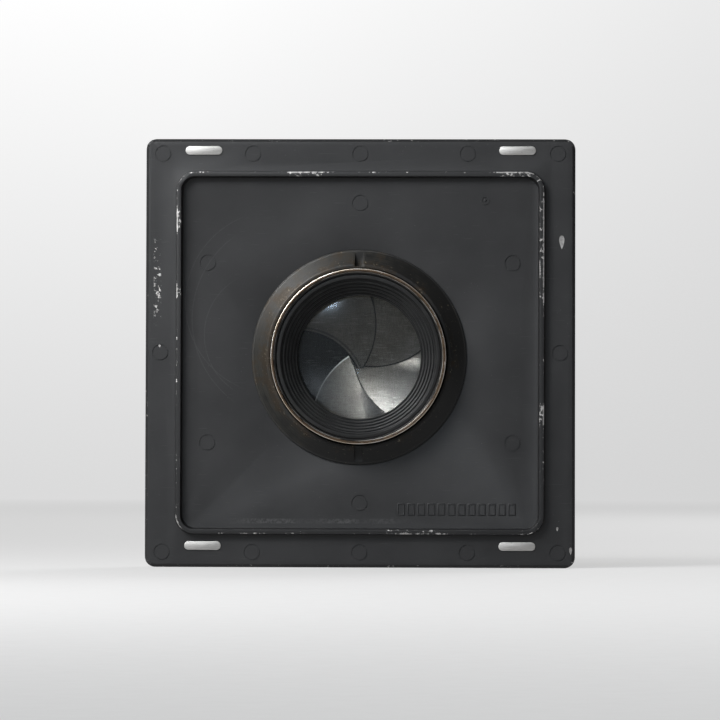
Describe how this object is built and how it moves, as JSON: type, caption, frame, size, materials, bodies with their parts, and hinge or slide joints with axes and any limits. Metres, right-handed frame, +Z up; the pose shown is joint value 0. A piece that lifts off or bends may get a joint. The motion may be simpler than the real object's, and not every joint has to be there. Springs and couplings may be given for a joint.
{
  "type": "lens board with leaf shutter lens",
  "caption": "Square cast lens board with a raised light trap, carrying a lens in a leaf shutter with swinging blades, iris and levers.",
  "frame": {"origin": "on the lens axis, in the plane of the board's four seat pads", "axes": "+Z up, +X right as seen from behind, +Y along the lens axis towards the front of the lens"},
  "size_m": [0.158, 0.0682, 0.1576],
  "materials": {
    "board_black": "semi-matt black stoved paint on cast aluminium, with bare milled seat pads",
    "worn_brass": "black lacquer worn to brown brass",
    "black_anodised": "black anodised",
    "case_black": "crinkle and satin black paint",
    "bright_steel": "bright steel",
    "blade_steel": "thin brushed spring steel, darkened",
    "iris_steel": "thin blackened spring steel",
    "brass": "clean turned brass",
    "coated_glass": "polished coated glass"
  },
  "bodies": {
    "board_and_case": {"lens_board": "board_black", "retaining_ring": "worn_brass", "locating_pin": "bright_steel", "rear_barrel": "worn_brass", "rear_baffle": "black_anodised", "rear_element_outer": "coated_glass", "rear_element_inner": "coated_glass", "rear_lock_ring": "black_anodised", "case_back": "case_black", "case_shell": "case_black", "sector_plate": "black_anodised", "works_plate": "brass", "cover_plate": "case_black", "case_screws": "bright_steel", "blade_posts": "bright_steel", "arbors_and_posts": "bright_steel", "main_spring": "bright_steel", "cable_socket": "bright_steel", "sync_socket": "bright_steel", "speed_hub": "bright_steel", "front_barrel": "black_anodised", "front_element_outer": "coated_glass", "front_element_inner": "coated_glass", "front_lock_ring": "black_anodised", "name_ring": "black_anodised"},
    "iris_leaf_1": {"iris_leaf_1": "iris_steel"},
    "iris_leaf_2": {"iris_leaf_2": "iris_steel"},
    "iris_leaf_3": {"iris_leaf_3": "iris_steel"},
    "iris_leaf_4": {"iris_leaf_4": "iris_steel"},
    "iris_leaf_5": {"iris_leaf_5": "iris_steel"},
    "iris_leaf_6": {"iris_leaf_6": "iris_steel"},
    "iris_leaf_7": {"iris_leaf_7": "iris_steel"},
    "iris_drive": {"iris_ring": "brass"},
    "shutter_blade_1": {"shutter_blade_1": "blade_steel"},
    "shutter_blade_2": {"shutter_blade_2": "blade_steel"},
    "shutter_blade_3": {"shutter_blade_3": "blade_steel"},
    "shutter_blade_4": {"shutter_blade_4": "blade_steel"},
    "shutter_blade_5": {"shutter_blade_5": "blade_steel"},
    "blade_drive": {"blade_ring": "bright_steel", "view_lever": "bright_steel"},
    "retard_sector": {"retard_sector": "brass"},
    "retard_wheel": {"retard_wheel": "brass"},
    "star_wheel": {"star_wheel": "brass"},
    "pallet": {"pallet": "bright_steel"},
    "cocking_lever": {"cocking_lever": "bright_steel"},
    "release_lever": {"release_lever": "bright_steel"},
    "speed_ring": {"speed_ring": "case_black"}
  },
  "joints": [
    {"name": "iris_turn", "type": "hinge", "parent": "board_and_case", "child": "iris_drive", "pos_m": [0, 0.0148, 0], "axis": [0, -1, 0], "range_deg": [0, 40]},
    {"name": "iris_leaf_1_swing", "type": "hinge", "parent": "board_and_case", "child": "iris_leaf_1", "pos_m": [0.0401, 0.01275, 0.00852], "axis": [0, -1, 0], "range_deg": [0, 28.53]},
    {"name": "iris_leaf_2_swing", "type": "hinge", "parent": "board_and_case", "child": "iris_leaf_2", "pos_m": [0.01834, 0.01275, 0.03667], "axis": [0, -1, 0], "range_deg": [0, 28.53]},
    {"name": "iris_leaf_3_swing", "type": "hinge", "parent": "board_and_case", "child": "iris_leaf_3", "pos_m": [-0.01723, 0.01275, 0.0372], "axis": [0, -1, 0], "range_deg": [0, 28.53]},
    {"name": "iris_leaf_4_swing", "type": "hinge", "parent": "board_and_case", "child": "iris_leaf_4", "pos_m": [-0.03983, 0.01275, 0.00972], "axis": [0, -1, 0], "range_deg": [0, 28.53]},
    {"name": "iris_leaf_5_swing", "type": "hinge", "parent": "board_and_case", "child": "iris_leaf_5", "pos_m": [-0.03243, 0.01275, -0.02508], "axis": [0, -1, 0], "range_deg": [0, 28.53]},
    {"name": "iris_leaf_6_swing", "type": "hinge", "parent": "board_and_case", "child": "iris_leaf_6", "pos_m": [-0.00061, 0.01275, -0.041], "axis": [0, -1, 0], "range_deg": [0, 28.53]},
    {"name": "iris_leaf_7_swing", "type": "hinge", "parent": "board_and_case", "child": "iris_leaf_7", "pos_m": [0.03167, 0.01275, -0.02604], "axis": [0, -1, 0], "range_deg": [0, 28.53]},
    {"name": "blade_ring_turn", "type": "hinge", "parent": "board_and_case", "child": "blade_drive", "pos_m": [0, 0.01825, 0], "axis": [0, -1, 0], "range_deg": [0, 4.59]},
    {"name": "shutter_blade_1_swing", "type": "hinge", "parent": "board_and_case", "child": "shutter_blade_1", "pos_m": [-0.03031, 0.0166, 0.02454], "axis": [0, -1, 0], "range_deg": [0, 39.62]},
    {"name": "shutter_blade_2_swing", "type": "hinge", "parent": "board_and_case", "child": "shutter_blade_2", "pos_m": [0.01398, 0.0166, 0.03641], "axis": [0, -1, 0], "range_deg": [0, 39.62]},
    {"name": "shutter_blade_3_swing", "type": "hinge", "parent": "board_and_case", "child": "shutter_blade_3", "pos_m": [0.03895, 0.0166, -0.00204], "axis": [0, -1, 0], "range_deg": [0, 39.62]},
    {"name": "shutter_blade_4_swing", "type": "hinge", "parent": "board_and_case", "child": "shutter_blade_4", "pos_m": [0.01009, 0.0166, -0.03767], "axis": [0, -1, 0], "range_deg": [0, 39.62]},
    {"name": "shutter_blade_5_swing", "type": "hinge", "parent": "board_and_case", "child": "shutter_blade_5", "pos_m": [-0.03271, 0.0166, -0.02124], "axis": [0, -1, 0], "range_deg": [0, 39.62]},
    {"name": "retard_sector_turn", "type": "hinge", "parent": "board_and_case", "child": "retard_sector", "pos_m": [0.01975, 0.0214, -0.03421], "axis": [0, -1, 0], "range_deg": [0, 30]},
    {"name": "retard_wheel_turn", "type": "hinge", "parent": "board_and_case", "child": "retard_wheel", "pos_m": [0.02721, 0.0214, -0.02864], "axis": [0, -1, 0], "range_deg": [-93.43, 0]},
    {"name": "star_wheel_turn", "type": "hinge", "parent": "board_and_case", "child": "star_wheel", "pos_m": [0.03172, 0.0214, -0.02354], "axis": [0, -1, 0], "range_deg": [0, 186.77]},
    {"name": "pallet_rock", "type": "hinge", "parent": "board_and_case", "child": "pallet", "pos_m": [0.03473, 0.0214, -0.01881], "axis": [0, -1, 0], "range_deg": [-5, 5]},
    {"name": "cocking_turn", "type": "hinge", "parent": "board_and_case", "child": "cocking_lever", "pos_m": [0, 0.028, 0], "axis": [0, -1, 0], "range_deg": [0, 38], "stiffness_Nm_per_rad": 0.05, "springref_deg": -17.19},
    {"name": "release_press", "type": "hinge", "parent": "board_and_case", "child": "release_lever", "pos_m": [-0.03594, 0.025, 0.02075], "axis": [0, -1, 0], "range_deg": [0, 8], "stiffness_Nm_per_rad": 0.05, "springref_deg": -5.73},
    {"name": "speed_turn", "type": "hinge", "parent": "board_and_case", "child": "speed_ring", "pos_m": [0, 0.03375, 0], "axis": [0, -1, 0], "range_deg": [0, 200]}
  ],
  "couplings": [
    {"joint": "iris_leaf_1_swing", "follows": "iris_turn", "ratio": 0.71306},
    {"joint": "iris_leaf_2_swing", "follows": "iris_turn", "ratio": 0.71306},
    {"joint": "iris_leaf_3_swing", "follows": "iris_turn", "ratio": 0.71306},
    {"joint": "iris_leaf_4_swing", "follows": "iris_turn", "ratio": 0.71306},
    {"joint": "iris_leaf_5_swing", "follows": "iris_turn", "ratio": 0.71306},
    {"joint": "iris_leaf_6_swing", "follows": "iris_turn", "ratio": 0.71306},
    {"joint": "iris_leaf_7_swing", "follows": "iris_turn", "ratio": 0.71306},
    {"joint": "shutter_blade_1_swing", "follows": "blade_ring_turn", "ratio": 8.6157},
    {"joint": "shutter_blade_2_swing", "follows": "blade_ring_turn", "ratio": 8.6157},
    {"joint": "shutter_blade_3_swing", "follows": "blade_ring_turn", "ratio": 8.6157},
    {"joint": "shutter_blade_4_swing", "follows": "blade_ring_turn", "ratio": 8.6157},
    {"joint": "shutter_blade_5_swing", "follows": "blade_ring_turn", "ratio": 8.6157},
    {"joint": "retard_wheel_turn", "follows": "retard_sector_turn", "ratio": -3.1111},
    {"joint": "star_wheel_turn", "follows": "retard_sector_turn", "ratio": 6.2222}
  ]
}
